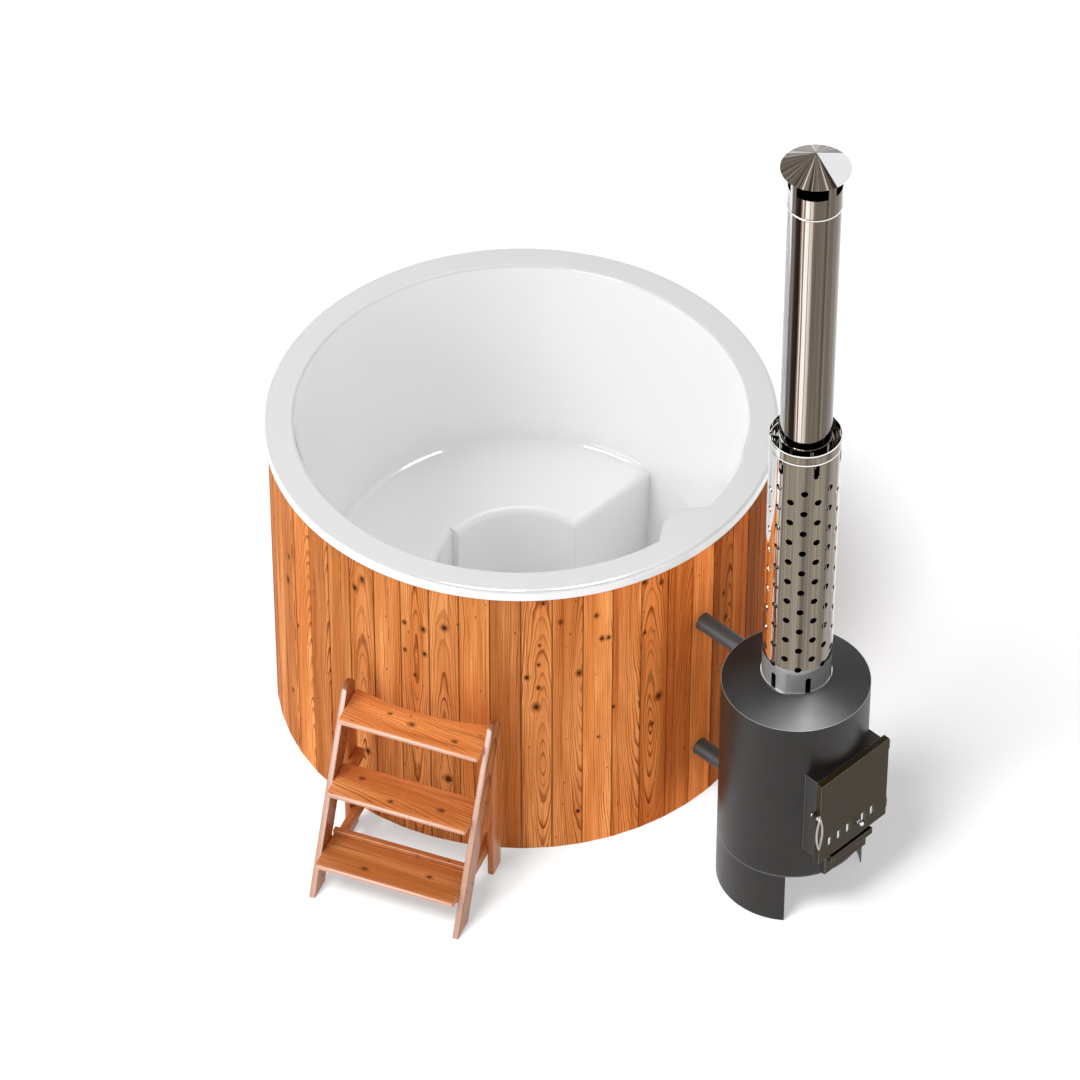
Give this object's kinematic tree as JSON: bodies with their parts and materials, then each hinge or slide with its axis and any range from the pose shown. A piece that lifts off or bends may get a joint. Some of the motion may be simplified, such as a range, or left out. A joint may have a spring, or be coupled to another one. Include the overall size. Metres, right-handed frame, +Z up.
{
  "type": "hot tub",
  "caption": "Round wood-clad hot tub with a moulded inner seat, an outside wood-fired heater joined by two pipes, a guarded chimney and a free-standing step ladder.",
  "frame": {"origin": "on the floor under the tub's centre, on the underside of the middle joist", "axes": "+Z up, +X from the tub's centre to the heater, +Y towards the drain's side"},
  "size_m": [2.2853, 2.069, 2.894],
  "materials": {
    "gel_coat": "high gloss, moulded",
    "larch_boards": "oiled, satin",
    "ladder_wood": "oiled, satin",
    "frame_timber": "sawn, matt",
    "foam": "foamed, matt",
    "grey_pipe": "moulded, matt",
    "valve_steel": "polished",
    "lever_red": "dipped, satin",
    "water_pipes": "matt",
    "heater_paint": "powder coat, satin",
    "door_paint": "powder coat, semi-gloss",
    "firebox_steel": "rolled, dull",
    "grate_iron": "cast, matt",
    "rope": "woven",
    "control_chrome": "polished",
    "chimney_steel": "stainless, bright",
    "screw_steel": "stainless"
  },
  "bodies": {
    "tub": {"tub_liner": "gel_coat", "cladding_heater_side": "larch_boards", "pipe_board": "larch_boards", "cladding_far_side": "larch_boards", "cladding_rear": "larch_boards", "cladding_ladder_side": "larch_boards", "wall_studs": "frame_timber", "frame_rings": "frame_timber", "base_joists": "frame_timber", "base_panel": "frame_timber", "floor_insulation": "foam", "drain_strainer": "valve_steel", "drain_elbow": "grey_pipe", "drain_valve": "valve_steel", "wall_flanges": "gel_coat", "lock_nuts": "grey_pipe", "water_grilles": "gel_coat", "upper_pipe": "water_pipes", "lower_pipe": "water_pipes", "heater_shell": "heater_paint", "port_plates": "heater_paint", "heater_top": "heater_paint", "heater_bottom": "heater_paint", "heater_stand": "heater_paint", "firebox": "firebox_steel", "fire_grate": "grate_iron", "drawer_runners": "firebox_steel", "door_neck": "heater_paint", "ash_neck": "heater_paint", "hinge_brackets": "heater_paint", "hinge_pins": "firebox_steel", "flue_spigot": "firebox_steel", "flue_lower": "chimney_steel", "flue_upper": "chimney_steel", "guard_tube": "chimney_steel", "guard_collar": "chimney_steel", "guard_base_ring": "chimney_steel", "guard_spacers": "chimney_steel", "cap_sleeve": "chimney_steel", "rain_cap": "chimney_steel"},
    "door": {"door_panel": "door_paint", "door_rope": "rope", "slider_guides": "firebox_steel", "door_knuckles": "door_paint", "latch_bracket": "door_paint"},
    "air_control": {"air_slider": "control_chrome", "air_knob": "control_chrome"},
    "latch": {"latch_handle": "control_chrome"},
    "ash_drawer": {"ash_drawer": "door_paint"},
    "drain_lever": {"drain_lever": "lever_red"},
    "ladder": {"ladder_left_side": "ladder_wood", "ladder_right_side": "ladder_wood", "ladder_left_leg": "ladder_wood", "ladder_right_leg": "ladder_wood", "lower_tread": "ladder_wood", "middle_tread": "ladder_wood", "upper_tread": "ladder_wood", "tread_bearers": "ladder_wood", "ladder_crossbar": "ladder_wood", "ladder_screws": "screw_steel"}
  },
  "joints": [
    {"name": "door_hinge", "type": "hinge", "parent": "tub", "child": "door", "pos_m": [1.4515, 0.131, 0.48], "axis": [0, 0, 1], "range_deg": [0, 110]},
    {"name": "air_slide", "type": "slide", "parent": "door", "child": "air_control", "axis": [0, -1, 0], "range_m": [0, 0.02025]},
    {"name": "latch_turn", "type": "hinge", "parent": "door", "child": "latch", "pos_m": [1.4625, -0.187, 0.52], "axis": [1, 0, 0], "range_deg": [-90, 0]},
    {"name": "ash_drawer_slide", "type": "slide", "parent": "tub", "child": "ash_drawer", "axis": [1, 0, 0], "range_m": [0, 0.3]},
    {"name": "drain_lever_turn", "type": "hinge", "parent": "tub", "child": "drain_lever", "pos_m": [0.1, 0.835, 0.07], "axis": [0, 0, 1], "range_deg": [0, 90]},
    {"name": "ladder_slide", "type": "slide", "parent": "tub", "child": "ladder", "axis": [0.4003, -0.9164, 0], "range_m": [0, 1]}
  ]
}
